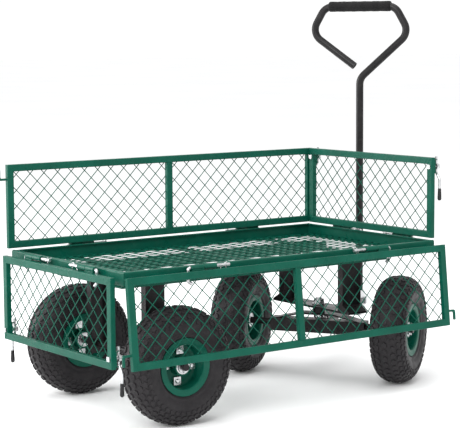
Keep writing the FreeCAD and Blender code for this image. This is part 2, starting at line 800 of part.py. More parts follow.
def kingpin_nut():
    """A slotted nut on its collar, above the front plate."""
    seat = vec(kingpin_place, 0, front_plate_top + kingpin_play)
    top = seat + UP * nut_height
    angles = [math.radians(60 * n) for n in range(6)]
    corners = [seat + vec(nut_radius * math.cos(a), nut_radius * math.sin(a), 0) for a in angles]
    nut = prism(corners, UP * nut_height)
    slot = box(seat.x - nut_radius, seat.x + nut_radius, -nut_slot_width / 2, nut_slot_width / 2,
               top.z - nut_slot_depth, top.z)
    slots = [turned(slot, seat, UP, 60 * n) for n in range(3)]
    collar = rod(nut_radius + nut_collar, seat, seat + UP * nut_collar_height)
    return fuse([nut.cut(slots), collar]).cut(rod(kingpin_diameter / 2, seat, top))


def kingpin():
    """The bolt that the front axle turns on: it hangs from the steering bridge and turns with it."""
    low = vec(kingpin_place, 0, bridge_top - bridge_wall)
    top = vec(kingpin_place, 0, front_plate_top + kingpin_play + kingpin_end)
    pin = rod(kingpin_diameter / 2, low, top)
    head = rod(kingpin_head_radius, low - UP * kingpin_head_height, low)
    return fuse([pin, head])


# ---- steering, made straight ahead about the steering axis ---------------------------------------
def steering_beam():
    """An open channel along the axle, a raised bridge over it and the sleeve under the front plate."""
    half = beam_width / 2
    low = axle_height - beam_height / 2 - beam_drop
    high = low + beam_height
    reach = half_track - beam_to_wheel
    channel = box(-half, half, -reach, reach, low, high)
    hollow = box(-half + beam_wall, half - beam_wall, -reach + beam_wall, reach - beam_wall,
                 low, high - beam_wall)
    foot = reach - bridge_foot
    under = bridge_top - bridge_wall
    outline = [(-foot, high), (-bridge_flat, bridge_top), (bridge_flat, bridge_top), (foot, high),
               (foot - 1.5 * bridge_wall, high), (bridge_flat - bridge_wall / 2, under),
               (bridge_wall / 2 - bridge_flat, under), (1.5 * bridge_wall - foot, high)]
    bridge = prism([vec(-half, across, up) for across, up in outline], vec(beam_width, 0, 0))
    sleeve_top = front_plate_top - front_plate_thickness - kingpin_play
    sleeve = rod(sleeve_radius, vec(0, 0, bridge_top), vec(0, 0, sleeve_top))
    beam = fuse([channel.cut(hollow), bridge, sleeve])
    king_bore = rod(kingpin_diameter / 2, vec(0, 0, under), vec(0, 0, sleeve_top))
    axle_bore = rod(axle_diameter / 2, vec(0, -reach, axle_height), vec(0, reach, axle_height))
    return beam.cut([king_bore, axle_bore])


def tongue():
    """The drawbar: an open channel from the beam to the handle's clevis."""
    low = pivot_height - tongue_height / 2
    high = low + tongue_height
    start = beam_width / 2
    half = tongue_width / 2
    bar = box(start, clevis_place, -half, half, low, high)
    hollow = box(start, clevis_place - tongue_wall, -half + tongue_wall, half - tongue_wall,
                 low, high - tongue_wall)
    return bar.cut(hollow)


def clevis():
    """A bright U-shaped bracket on the tongue's end, with a cheek each side of the handle."""
    inner = handle_diameter / 2 + clevis_clearance
    outer = inner + clevis_wall
    back = clevis_place
    front = back + clevis_length
    low = pivot_height - clevis_below
    high = pivot_height + clevis_above
    outline = [(back, low), (front - clevis_chamfer, low), (front, low + clevis_chamfer),
               (front, high - clevis_chamfer), (front - clevis_chamfer, high), (back, high)]
    cheeks = [prism([vec(x, y, z) for x, z in outline], ACROSS * clevis_wall) for y in (-outer, inner)]
    plate = box(back, back + clevis_wall, -outer, outer, low, high)
    bore = rod(handle_bolt_diameter / 2, vec(pivot_reach, -outer, pivot_height),
               vec(pivot_reach, outer, pivot_height))
    return fuse([plate] + cheeks).cut(bore)


def handle_bolt():
    outer = handle_diameter / 2 + clevis_clearance + clevis_wall
    return square_bolt(handle_bolt_diameter / 2, handle_bolt_head, handle_bolt_head_height,
                       vec(pivot_reach, -outer, pivot_height), vec(pivot_reach, outer, pivot_height))


def handle_path():
    """Centre line of the handle, from its foot: up the post, round the open loop."""
    points = [(0, -handle_foot), (0, handle_post), (-loop_half_width, loop_shoulder),
              (-loop_top_half_width, loop_top), (loop_top_half_width, loop_top),
              (loop_half_width, loop_shoulder), (open_end_side, open_end_height)]
    return [vec(pivot_reach, side, pivot_height + up) for side, up in points]


def along_handle(radius):
    """A round bar that follows the handle's centre line."""
    path = bent_line(handle_path(), loop_bend)
    section = Part.Wire([Part.makeCircle(radius, path.Vertexes[0].Point, UP)])
    return path.makePipeShell([section], True, False)


def handle_tube():
    tube = along_handle(handle_diameter / 2).cut(along_handle(handle_diameter / 2 - handle_wall))
    reach = ACROSS * handle_diameter
    pivot = vec(pivot_reach, 0, pivot_height)
    bore = rod(handle_bolt_diameter / 2 + handle_bolt_clearance, pivot - reach, pivot + reach)
    return tube.cut(bore)


def handle_grip():
    """The foam sleeve. Its bore follows the tube where the loop starts to bend."""
    bore = handle_diameter / 2 + grip_gap
    middle = vec(pivot_reach, 0, pivot_height + loop_top)
    reach = ACROSS * (grip_length / 2)
    return rod(bore + grip_wall, middle - reach, middle + reach).cut(along_handle(bore))


# ---- writing the pieces --------------------------------------------------------------------------
def steered(shape):
    """From the straight-ahead steering frame to the cart, at the steering angle."""
    return moved(turned(shape, ORIGIN, UP, steer_angle), vec(kingpin_place, 0, 0))


def save_sides():
    for name, side, angle in (("side_left", "left", 0), ("side_right", "right", side_fold)):
        save(name + "_frame", on_deck_side(folded(side_frame(), angle), side))
        save(name + "_mesh", on_deck_side(folded(panel_mesh(side_length, True), angle), side))
    for name, side, angle in (("gate_front", "front", 0), ("gate_rear", "rear", gate_fold)):
        save(name + "_frame", on_deck_side(folded(gate_frame(), angle), side))
        save(name + "_mesh", on_deck_side(folded(panel_mesh(gate_length, False), angle), side))
        save(name + "_lever_bolts", on_deck_side(folded(lever_bolts(), angle), side))
        direction = 1 if angle else -1
        for end, hand in lever_hands(side):
            lever, grip = lever_parts(end, direction)
            save("lever_%s_%s" % (side, hand), on_deck_side(folded(lever, angle), side))
            save("lever_grip_%s_%s" % (side, hand), on_deck_side(folded(grip, angle), side))


def lever_hands(side):
    """Which end of a gate is at the cart's left and right, in the gate's own frame."""
    return ((-1, "left"), (1, "right")) if side == "front" else ((1, "left"), (-1, "right"))


def save_wheels():
    for hand, side in (("left", 1), ("right", -1)):
        for name, shape in wheel().items():
            outward = shape if side > 0 else turned(shape, ORIGIN, UP, 180)
            at_hub = moved(outward, vec(0, side * half_track, axle_height))
            save("%s_rear_%s" % (name, hand), moved(at_hub, vec(rear_axle_place, 0, 0)))
            save("%s_front_%s" % (name, hand), steered(at_hub))


def save_all():
    os.makedirs("parts", exist_ok=True)
    save("deck_rim", deck_rim())
    save("deck_floor", deck_floor())
    save("deck_underframe", deck_underframe())
    save("leg_bolts", leg_bolts())
    save("rear_legs", group([rear_leg(-1), rear_leg(1)]))
    save("front_bracket", front_bracket())
    pins, clips = hinge_hardware()
    save("hinge_pins", pins)
    save("hinge_clips", clips)
    rear = vec(rear_axle_place, 0, axle_height)
    save("rear_axle", moved(axle(), rear))
    save("rear_axle_fasteners", moved(axle_fasteners(), rear))
    save("kingpin", kingpin())
    save("kingpin_nut", kingpin_nut())
    save("steering_beam", steered(steering_beam()))
    front = vec(0, 0, axle_height)
    save("front_axle", steered(moved(axle(), front)))
    save("front_axle_fasteners", steered(moved(axle_fasteners(), front)))
    save("tongue", steered(tongue()))
    save("clevis", steered(clevis()))
    save("handle_bolt", steered(handle_bolt()))
    save("handle_tube", steered(handle_tube()))
    save("handle_grip", steered(handle_grip()))
    save_sides()
    save_wheels()


save_all()
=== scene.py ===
"""Garden cart: the finished surfaces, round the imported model. Metres, in the model's frame:
+X towards the handle, +Y left, +Z up, with the origin on top of the deck's mesh floor."""
import json
import math
import random

import bmesh
import bpy
from mathutils import Matrix, Vector

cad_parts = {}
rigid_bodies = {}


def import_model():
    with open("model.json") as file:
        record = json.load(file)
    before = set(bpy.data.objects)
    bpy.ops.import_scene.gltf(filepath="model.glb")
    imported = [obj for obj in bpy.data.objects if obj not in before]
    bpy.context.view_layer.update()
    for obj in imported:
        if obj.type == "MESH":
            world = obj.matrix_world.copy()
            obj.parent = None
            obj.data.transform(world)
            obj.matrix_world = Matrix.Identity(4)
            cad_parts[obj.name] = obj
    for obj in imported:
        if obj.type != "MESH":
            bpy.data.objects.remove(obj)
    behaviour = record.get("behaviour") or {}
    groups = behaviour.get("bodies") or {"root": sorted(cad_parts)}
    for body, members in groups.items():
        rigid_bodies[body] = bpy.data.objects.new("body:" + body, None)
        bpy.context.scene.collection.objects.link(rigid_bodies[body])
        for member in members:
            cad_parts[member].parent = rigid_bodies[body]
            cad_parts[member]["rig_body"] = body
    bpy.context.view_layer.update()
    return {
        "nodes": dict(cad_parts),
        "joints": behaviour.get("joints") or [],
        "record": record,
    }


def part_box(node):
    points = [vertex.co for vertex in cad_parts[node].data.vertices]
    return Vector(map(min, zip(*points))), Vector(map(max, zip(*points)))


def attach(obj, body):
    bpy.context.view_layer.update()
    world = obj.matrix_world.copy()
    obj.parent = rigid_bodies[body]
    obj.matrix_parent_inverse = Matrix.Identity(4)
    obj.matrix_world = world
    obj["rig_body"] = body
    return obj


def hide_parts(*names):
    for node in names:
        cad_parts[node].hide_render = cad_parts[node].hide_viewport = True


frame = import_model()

scene = bpy.context.scene
joints = {joint["name"]: joint for joint in frame["joints"]}
slots = {part["node"]: part["material_slot"] for part in frame["record"]["subparts"]}
hinge_height = joints["side_left_fold"]["pos_m"][2]
MM = 0.001
ALONG = Vector((1, 0, 0))
ACROSS = Vector((0, 1, 0))
UP = Vector((0, 0, 1))

# ---- sizes: the model's, but floor_strand, floor_gauge and mesh_wire are thinner -----------------
ground = -0.3215
deck_half = Vector((0.438, 0.236, 0))
rim_height = 30 * MM
rim_bottom = -5.5 * MM
rim_wall = 3 * MM
rim_lip = 9 * MM
rim_flange = 22 * MM
sheet_bend = 3.2 * MM
floor_pitch = Vector((62 * MM, 25 * MM, 0))
floor_strand = 3.2 * MM
floor_gauge = 0.9 * MM
floor_tilt = math.radians(14)
floor_bond = 9 * MM
panel_inner = -16 * MM
panel_depth = 12 * MM
panel_bottom = 7 * MM
panel_height = 192 * MM
bar_width = 16 * MM
bar_radius = 1.8 * MM
side_half = 0.447
gate_half = 0.229
mesh_pitch = 36.5 * MM
mesh_wire = 1.05 * MM
mesh_from_outside = 2.6 * MM
hinge_tube = 6.5 * MM
hinge_bore = 3.58 * MM
hinge_length = 33 * MM
hinge_gap = 0.3 * MM
hinge_out = 12 * MM
side_hinge = 0.245
gate_hinge = 0.112
latch_drop = 22 * MM
hook_reach = 22 * MM
hook_bar = 5 * MM
hook_thickness = 4 * MM
tyre_radius = 129 * MM
tyre_half = 43 * MM
flange_radius = 63 * MM
seat_radius = 50 * MM
rim_half_width = 35 * MM
rim_plate = 2.5 * MM
hub_radius = 19.5 * MM
bearing_radius = 17 * MM
bearing_face = 25 * MM
bolt_circle = 34 * MM
wheel_bolt_head = 18 * MM
wheel_bolt_radius = 5 * MM
wheel_bolt_height = 5.6 * MM
wheel_bolt_turn = 6
grip_half = 83 * MM
grip_radius = 13.5 * MM


# ---- mesh helpers -------------------------------------------------------------------------------
def spin(angle):
    return Matrix.Rotation(angle, 4, "Z")


def shift(x, y, z):
    return Matrix.Translation((x, y, z))


def add_faces(bm, points, faces):
    verts = [bm.verts.new(p) for p in points]
    made = []
    for face in faces:
        made.append(bm.faces.new([verts[i] for i in face]))
    return verts, made


def bevel(bm, edges, width, segments=2):
    bmesh.ops.bevel(bm, geom=list(edges), offset=width, segments=segments, profile=0.5,
                    affect="EDGES", clamp_overlap=True)


def add_box(bm, low, high, width=0.0):
    """A box between two corners, with rounded edges."""
    x, y, z = zip(low, high)
    corners = [(x[i], y[j], z[k]) for i in (0, 1) for j in (0, 1) for k in (0, 1)]
    sides = [(0, 1, 3, 2), (4, 6, 7, 5), (0, 4, 5, 1), (2, 3, 7, 6), (0, 2, 6, 4), (1, 5, 7, 3)]
    verts, _ = add_faces(bm, corners, sides)
    if width:
        bevel(bm, {edge for vert in verts for edge in vert.link_edges}, width)


def add_prism(bm, outline, direction, width=0.0):
    """A closed flat outline pushed along a direction, with rounded edges."""
    count = len(outline)
    points = [Vector(p) for p in outline] + [Vector(p) + Vector(direction) for p in outline]
    sides = [(i, (i + 1) % count, (i + 1) % count + count, i + count) for i in range(count)]
    faces = [tuple(range(count))[::-1], tuple(range(count, 2 * count))] + sides
    verts, _ = add_faces(bm, points, faces)
    if width:
        bevel(bm, {edge for vert in verts for edge in vert.link_edges}, width)


def frame_along(direction):
    """Two directions square to a third."""
    side = direction.cross(UP)
    if side.length < 0.1:
        side = direction.cross(ALONG)
    side.normalize()
    return side, direction.cross(side).normalized()


def add_turned(bm, profile, start, direction, segments=48, closed=False):
    """A profile of (along, radius) points turned about a line. Open profiles end on the line."""
    direction = Vector(direction).normalized()
    side, other = frame_along(direction)
    rings = []
    for along, radius in profile:
        centre = Vector(start) + direction * along
        if radius < 1e-7:
            rings.append([bm.verts.new(centre)])
            continue
        angles = [2 * math.pi * i / segments for i in range(segments)]
        rings.append([bm.verts.new(centre + side * (radius * math.cos(a)) + other * (radius * math.sin(a)))
                      for a in angles])
    pairs = list(zip(rings, rings[1:]))
    if closed:
        pairs.append((rings[-1], rings[0]))
    for one, two in pairs:
        for i in range(segments):
            j = (i + 1) % segments
            if len(one) == 1 and len(two) == 1:
                continue
            if len(one) == 1:
                bm.faces.new((one[0], two[j], two[i]))
            elif len(two) == 1:
                bm.faces.new((one[i], one[j], two[0]))
            else:
                bm.faces.new((one[i], one[j], two[j], two[i]))


def add_pipe(bm, start, end, outer, inner, width, segments=32):
    """A short tube with rounded rims."""
    span = Vector(end) - Vector(start)
    length = span.length
    profile = [(0, inner + width), (0, outer - width), (width, outer), (length - width, outer),
               (length, outer - width), (length, inner + width), (length - width, inner), (width, inner)]
    add_turned(bm, profile, start, span, segments, closed=True)


def add_wire(bm, points, radius, sides=8):
    """A round wire along a list of points, with flat ends."""
    points = [Vector(p) for p in points]
    direction = (points[1] - points[0]).normalized()
    side, _ = frame_along(direction)
    rings = []
    for i, point in enumerate(points):
        before = points[max(i - 1, 0)]
        after = points[min(i + 1, len(points) - 1)]
        direction = (after - before).normalized()
        side = (side - direction * side.dot(direction)).normalized()
        other = direction.cross(side)
        angles = [2 * math.pi * k / sides for k in range(sides)]
        rings.append([bm.verts.new(point + side * (radius * math.cos(a)) + other * (radius * math.sin(a)))
                      for a in angles])
    for one, two in zip(rings, rings[1:]):
        for k in range(sides):
            j = (k + 1) % sides
            bm.faces.new((one[k], one[j], two[j], two[k]))
    bm.faces.new(rings[0][::-1])
    bm.faces.new(rings[-1])


def add_bead(bm, start, end, radius, seed=1):
    """A weld bead: a lumpy low ridge between two points, with tapering ends."""
    start, end = Vector(start), Vector(end)
    length = (end - start).length
    steps = max(int(length / (radius * 0.45)), 6)
    rng = random.Random(seed)
    profile = [(0, 0)]
    for i in range(1, steps):
        share = i / steps
        ripple = 0.86 + 0.14 * math.cos(2 * math.pi * i / 2.5) + rng.uniform(-0.05, 0.05)
        taper = min(1.0, 6 * share, 6 * (1 - share)) ** 0.5
        profile.append((length * share, radius * ripple * taper))
    profile.append((length, 0))
    add_turned(bm, profile, start, end - start, 10)


def rounded(outline, radius, steps=4):
    """A closed outline of 2D points with its corners rounded. radius is one number, or one a corner."""
    points = [Vector(p) for p in outline]
    radii = radius if hasattr(radius, "__len__") else [radius] * len(points)
    result = []
    for i, corner in enumerate(points):
        before = points[i - 1] - corner
        after = points[(i + 1) % len(points)] - corner
        reach = min(radii[i], before.length * 0.49, after.length * 0.49)
        if reach <= 0:
            result.append(corner)
            continue
        first = corner + before.normalized() * reach
        last = corner + after.normalized() * reach
        for k in range(steps + 1):
            t = k / steps
            result.append(first * (1 - t) ** 2 + corner * (2 * t * (1 - t)) + last * t ** 2)
    return result


def add_mitred(bm, profile, half_u, low, high, place):
    """A profile of (inset, depth) points taken round a rectangle with mitred corners."""
    corners = [(-1, low, 1), (1, low, 1), (1, high, -1), (-1, high, -1)]
    rings = [[bm.verts.new(place(su * (half_u - inset), depth, edge + sign * inset))
              for inset, depth in profile] for su, edge, sign in corners]
    count = len(profile)
    for k in range(4):
        one, two = rings[k], rings[(k + 1) % 4]
        for i in range(count):
            j = (i + 1) % count
            bm.faces.new((one[i], one[j], two[j], two[i]))


def make_object(name, bm, material, smooth_angle=38):
    bmesh.ops.recalc_face_normals(bm, faces=bm.faces)
    mesh = bpy.data.meshes.new(name)
    bm.to_mesh(mesh)
    bm.free()
    mesh.materials.append(material)
    mesh.polygons.foreach_set("use_smooth", [True] * len(mesh.polygons))
    mesh.set_sharp_from_angle(angle=math.radians(smooth_angle))
    obj = bpy.data.objects.new(name, mesh)
    scene.collection.objects.link(obj)
    return obj


def finish_piece(name, bm, slot, body, nodes, place=None, smooth_angle=38, weighted=True):
    """Turns the mesh into a piece that rides on a body, stands for CAD nodes and takes a slot's finish."""
    obj = make_object(name, bm, materials[slot], smooth_angle)
    if place:
        obj.data.transform(place)
    if weighted:
        normals = obj.modifiers.new("flat faces", "WEIGHTED_NORMAL")
        normals.keep_sharp = True
    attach(obj, body)
    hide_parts(*nodes)
    return obj


# ---- materials ------------------------------------------------------------------------------------
class Shader:
    """A principled material that takes its texture from the surface's own coordinates."""

    def __init__(self, name):
        self.material = bpy.data.materials.new(name)
        self.material.use_nodes = True
        self.tree = self.material.node_tree
        self.bsdf = self.tree.nodes["Principled BSDF"]
        self.coords = self.tree.nodes.new("ShaderNodeTexCoord").outputs["Object"]

    def link(self, source, target):
        self.tree.links.new(source, target)
        return target

    def noise(self, scale, detail=2.0, roughness=0.5, stretch=None):
        node = self.tree.nodes.new("ShaderNodeTexNoise")
        node.inputs["Scale"].default_value = scale
        node.inputs["Detail"].default_value = detail
        node.inputs["Roughness"].default_value = roughness
        self.link(self.stretched(stretch), node.inputs["Vector"])
        return node.outputs["Fac"]

    def cells(self, scale, feature="F1"):
        node = self.tree.nodes.new("ShaderNodeTexVoronoi")
        node.inputs["Scale"].default_value = scale
        node.feature = feature
        self.link(self.coords, node.inputs["Vector"])
        return node.outputs["Distance"]

    def stretched(self, stretch):
        if not stretch:
            return self.coords
        node = self.tree.nodes.new("ShaderNodeMapping")
        node.inputs["Scale"].default_value = stretch
        self.link(self.coords, node.inputs["Vector"])
        return node.outputs["Vector"]

    def ramp(self, source, low, high, start=0.35, stop=0.65):
        node = self.tree.nodes.new("ShaderNodeMapRange")
        node.inputs["From Min"].default_value = start
        node.inputs["From Max"].default_value = stop
        node.inputs["To Min"].default_value = low
        node.inputs["To Max"].default_value = high
        self.link(source, node.inputs["Value"])
        return node.outputs["Result"]

    def mix(self, share, one, two):
        """A mix of two colours, each a colour or another mix."""
        node = self.tree.nodes.new("ShaderNodeMix")
        node.data_type = "RGBA"
        self.link(share, node.inputs["Factor"])
        for socket, value in ((node.inputs["A"], one), (node.inputs["B"], two)):
            if hasattr(value, "is_linked"):
                self.link(value, socket)
            else:
                socket.default_value = (*value, 1)
        return node.outputs["Result"]

    def colour(self, source):
        self.link(source, self.bsdf.inputs["Base Color"])

    def rough(self, source):
        self.link(source, self.bsdf.inputs["Roughness"])

    def bump(self, heights):
        """Bumps laid over each other: (height, distance in metres)."""
        last = None
        for height, distance in heights:
            node = self.tree.nodes.new("ShaderNodeBump")
            node.inputs["Strength"].default_value = 1.0
            node.inputs["Distance"].default_value = distance
            self.link(height, node.inputs["Height"])
            if last:
                self.link(last, node.inputs["Normal"])
            last = node.outputs["Normal"]
        self.link(last, self.bsdf.inputs["Normal"])


def green_enamel():
    """Powder coat: even green with a fine orange peel, slightly mottled, a little dust."""
    s = Shader("green_enamel")
    cloudy = s.ramp(s.noise(14, 4), 0, 1)
    speck = s.ramp(s.noise(420, 3), 0, 1, 0.3, 0.7)
    base = s.mix(cloudy, (0.0010, 0.062, 0.039), (0.0018, 0.080, 0.051))
    base = s.mix(s.ramp(speck, 0, 0.22, 0, 1), base, (0.006, 0.120, 0.080))
    dust = s.ramp(s.noise(60, 6, 0.65), 0, 0.08, 0.52, 0.75)
    s.colour(s.mix(dust, base, (0.10, 0.16, 0.13)))
    s.rough(s.ramp(s.noise(35, 4), 0.27, 0.42))
    s.bsdf.inputs["Specular IOR Level"].default_value = 0.14
    s.bump([(s.noise(520, 2), 0.00007), (s.noise(150, 1), 0.00010)])
    return s.material


def black_enamel():
    """Satin black paint with a soft orange peel and faint handling marks."""
    s = Shader("black_enamel")
    cloudy = s.ramp(s.noise(18, 4), 0, 1)
    base = s.mix(cloudy, (0.0075, 0.0070, 0.0078), (0.0130, 0.0120, 0.0125))
    dust = s.ramp(s.noise(75, 6, 0.7), 0, 0.10, 0.52, 0.78)
    s.colour(s.mix(dust, base, (0.16, 0.15, 0.14)))
    s.rough(s.ramp(s.noise(40, 5), 0.26, 0.44))
    s.bsdf.inputs["Specular IOR Level"].default_value = 0.22
    s.bump([(s.noise(600, 2), 0.00005)])
    return s.material


def zinc_plate():
    """Bright zinc: cloudy patches, fine drawn lines and small dull spots."""
    s = Shader("zinc_plate")
    s.bsdf.inputs["Metallic"].default_value = 1.0
    cloudy = s.ramp(s.noise(90, 4, 0.6), 0, 1)
    base = s.mix(cloudy, (0.50, 0.51, 0.52), (0.66, 0.67, 0.68))
    spots = s.ramp(s.noise(500, 3, 0.6), 0, 0.5, 0.58, 0.72)
    s.colour(s.mix(spots, base, (0.30, 0.29, 0.27)))
    s.rough(s.ramp(s.noise(220, 4), 0.22, 0.38))
    s.bump([(s.noise(900, 2), 0.00002)])
    return s.material


def tyre_rubber():
    """Moulded rubber: near black, browner in patches, dusty, with a fine grain."""
    s = Shader("tyre_rubber")
    patches = s.ramp(s.noise(22, 5, 0.6), 0, 1)
    base = s.mix(patches, (0.0100, 0.0088, 0.0105), (0.0170, 0.0150, 0.0168))
    dust = s.ramp(s.noise(160, 6, 0.7), 0, 0.30, 0.50, 0.80)
    s.colour(s.mix(dust, base, (0.050, 0.044, 0.046)))
    s.rough(s.ramp(s.noise(60, 4), 0.42, 0.62))
    s.bsdf.inputs["Specular IOR Level"].default_value = 0.26
    s.bump([(s.noise(900, 3), 0.00010), (s.noise(240, 2), 0.00012)])
    return s.material


def soft_rubber(name, light, dark, grain):
    """Plain rubber or vinyl: two close tones with a fine grain."""
    s = Shader(name)
    s.colour(s.mix(s.ramp(s.noise(45, 4), 0, 1), dark, light))
    s.rough(s.ramp(s.noise(120, 3), 0.45, 0.62))
    s.bsdf.inputs["Specular IOR Level"].default_value = 0.25
    s.bump([(s.noise(grain, 3), 0.00008)])
    return s.material


def foam():
    """Closed-cell foam: matt black with small open pores, their hollows darkened with painted shade."""
    s = Shader("foam")
    pores = s.cells(900)
    tone = s.mix(s.ramp(s.noise(40, 3), 0, 1), (0.0060, 0.0058, 0.0062), (0.0105, 0.0100, 0.0100))
    # painted shade: the colour darkens towards each pore's centre, standing in for shade in the pore hollows
    s.colour(s.mix(s.ramp(pores, 0.55, 0, 0.05, 0.35), tone, (0.003, 0.003, 0.003)))
    s.rough(s.ramp(s.noise(300, 2), 0.78, 0.92))
    s.bsdf.inputs["Sheen Weight"].default_value = 0.06
    s.bsdf.inputs["Sheen Roughness"].default_value = 0.5
    s.bsdf.inputs["Specular IOR Level"].default_value = 0.2
    s.bump([(pores, 0.00025), (s.noise(90, 3), 0.0004)])
    return s.material


def pale_floor():
    s = Shader("pale_floor")
    s.colour(s.mix(s.ramp(s.noise(0.8, 3), 0, 1), (0.93, 0.935, 0.94), (0.955, 0.955, 0.955)))
    s.bsdf.inputs["Roughness"].default_value = 0.85
    s.bsdf.inputs["Specular IOR Level"].default_value = 0.1
    return s.material


materials = {"green_enamel": green_enamel(), "black_enamel": black_enamel(), "zinc_plate": zinc_plate(),
             "tyre_rubber": tyre_rubber(), "foam": foam(),
             "tube_rubber": soft_rubber("tube_rubber", (0.020, 0.019, 0.020), (0.012, 0.012, 0.012), 500),
             "grip_rubber": soft_rubber("grip_rubber", (0.018, 0.018, 0.019), (0.010, 0.010, 0.011), 700)}


def paint_frame():
    """Every piece of the model takes its slot's material."""
    for node, slot in slots.items():
        data = frame["nodes"][node].data
        data.materials.clear()
        data.materials.append(materials[slot])


def soften(node, width, segments=2, angle=28):
    """A copy of a model piece with its sharp edges rounded, as folded and painted steel has them."""
    source = frame["nodes"][node]
    bm = bmesh.new()
    bm.from_mesh(source.data)
    bmesh.ops.remove_doubles(bm, verts=bm.verts, dist=2e-6)
    bmesh.ops.dissolve_limit(bm, angle_limit=math.radians(0.7), verts=bm.verts, edges=bm.edges)
    sharp = [edge for edge in bm.edges
             if len(edge.link_faces) == 2 and edge.calc_face_angle(0) > math.radians(angle)]
    bevel(bm, sharp, width, segments)
    return finish_piece(node + "_finish", bm, slots[node], source["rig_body"], [node])


# ---- deck ---------------------------------------------------------------------------------------------
def rim_profile():
    """The rim's folded section: (inset, height) points, a lip at the top and a flange at the bottom."""
    outline = [(0, 0), (rim_flange, 0), (rim_flange, rim_wall), (rim_wall, rim_wall),
               (rim_wall, rim_height - rim_wall), (rim_lip, rim_height - rim_wall),
               (rim_lip, rim_height), (0, rim_height)]
    radii = [sheet_bend, 0.6 * MM, 0.6 * MM, 0.8 * MM, 0.8 * MM, 0.6 * MM, 0.6 * MM, sheet_bend]
    return rounded(outline, radii)


def deck_rim():
    bm = bmesh.new()
    profile = [(p.x, p.y) for p in rim_profile()]
    add_mitred(bm, profile, deck_half.x, -deck_half.y, deck_half.y,
               lambda u, depth, w: (u, w, rim_bottom + depth))
    for sx in (-1, 1):
        for sy in (-1, 1):
            top = rim_bottom + rim_height
            outer = Vector((sx * (deck_half.x - 1 * MM), sy * (deck_half.y - 1 * MM), top))
            inner = Vector((sx * (deck_half.x - rim_lip), sy * (deck_half.y - rim_lip), top))
            add_bead(bm, outer - UP * 0.6 * MM, inner - UP * 0.6 * MM, 1.5 * MM, 7)
            edge = Vector((sx * (deck_half.x - 0.9 * MM), sy * (deck_half.y - 0.9 * MM), rim_bottom))
            add_bead(bm, edge + UP * 3 * MM, edge + UP * (rim_height - 3 * MM), 1.5 * MM, 9)
    for side, hinge in (("left", side_hinge), ("right", side_hinge), ("front", gate_hinge),
                        ("rear", gate_hinge)):
        for way in (-1, 1):
            add_knuckle(bm, panel_place(side, 0), way, hinge - hinge_length, hinge - hinge_gap, True)
    finish_piece("deck_rim_finish", bm, "green_enamel", "root", ["deck_rim"])


def add_knuckle(bm, place, way, start, end, on_rim):
    """A hinge tube with its lug and welds, on the rim or on a panel. way is the half of the side."""
    part = bmesh.new()
    low, high = sorted((way * start, way * end))
    add_pipe(part, (low, 0, 0), (high, 0, 0), hinge_tube, hinge_bore, 0.7 * MM)
    inset = 0.8 * MM
    if on_rim:
        add_box(part, (low + inset, -hinge_out - 0.5 * MM, -5 * MM),
                (high - inset, -4.6 * MM, -0.4 * MM), 0.6 * MM)
        bead_from = Vector((low + 2 * MM, -hinge_out + 0.2 * MM, -0.6 * MM))
        bead_to = Vector((high - 2 * MM, -hinge_out + 0.2 * MM, -0.6 * MM))
    else:
        back = panel_inner + panel_depth
        joint = panel_bottom + 0.6 * MM
        add_box(part, (low + inset, back - 3 * MM, 3.5 * MM),
                (high - inset, back - 0.5 * MM, joint), 0.6 * MM)
        bead_from = Vector((low + 2 * MM, back - 0.3 * MM, panel_bottom - 0.2 * MM))
        bead_to = Vector((high - 2 * MM, back - 0.3 * MM, panel_bottom - 0.2 * MM))
    add_bead(part, bead_from, bead_to, 1.7 * MM, int(abs(start) * 1000))
    bmesh.ops.transform(part, matrix=place, verts=part.verts)
    merge_into(bm, part)


def merge_into(bm, part):
    mesh = bpy.data.meshes.new("part")
    part.to_mesh(mesh)
    part.free()
    bm.from_mesh(mesh)
    bpy.data.meshes.remove(mesh)


def strand_line(row):
    """The zigzag centre line of one strand of the expanded metal, bonded to its neighbours in turn."""
    swing = floor_pitch.y / 4 * (1 if row % 2 else -1)
    reach = deck_half.x - rim_wall
    step = floor_pitch.x / 2
    count = int(reach / step) + 2
    points = []
    for k in range(-count, count + 1):
        y = row * floor_pitch.y / 2 + swing * (1 if k % 2 else -1)
        for x in (k * step - floor_bond / 2, k * step + floor_bond / 2):
            points.append((x, y))
    line = []
    for (x0, y0), (x1, y1) in zip(points, points[1:]):
        if x1 <= -reach or x0 >= reach:
            continue
        for x in (x0, x1):
            x_kept = min(max(x, -reach), reach)
            y = y0 + (y1 - y0) * (x_kept - x0) / (x1 - x0)
            if not line or x_kept - line[-1][0] > 1e-6:
                line.append((x_kept, y))
    return line


def deck_floor():
    """Raised expanded metal: every strand leans the same way, so it opens towards one side."""
    bm = bmesh.new()
    reach = deck_half.y - rim_wall
    rows = int(reach / (floor_pitch.y / 2))
    middle = rim_bottom + rim_wall + 1.3 * MM
    across = Vector((0, math.cos(floor_tilt), math.sin(floor_tilt))) * (floor_strand / 2)
    through = Vector((0, -math.sin(floor_tilt), math.cos(floor_tilt))) * (floor_gauge / 2)
    for row in range(-rows, rows + 1):
        rings = []
        for x, y in strand_line(row):
            centre = Vector((x, y, middle))
            ring = [centre - across - through, centre + across - through, centre + across + through,
                    centre - across + through]
            if max(abs(point.y) for point in ring) > reach:
                continue
            rings.append([bm.verts.new(point) for point in ring])
        for one, two in zip(rings, rings[1:]):
            for i in range(4):
                j = (i + 1) % 4
                bm.faces.new((one[i], one[j], two[j], two[i]))
        if len(rings) > 1:
            bm.faces.new(rings[0][::-1])
            bm.faces.new(rings[-1])
    finish_piece("deck_floor_finish", bm, "green_enamel", "root", ["deck_floor"], smooth_angle=20,
                 weighted=False)


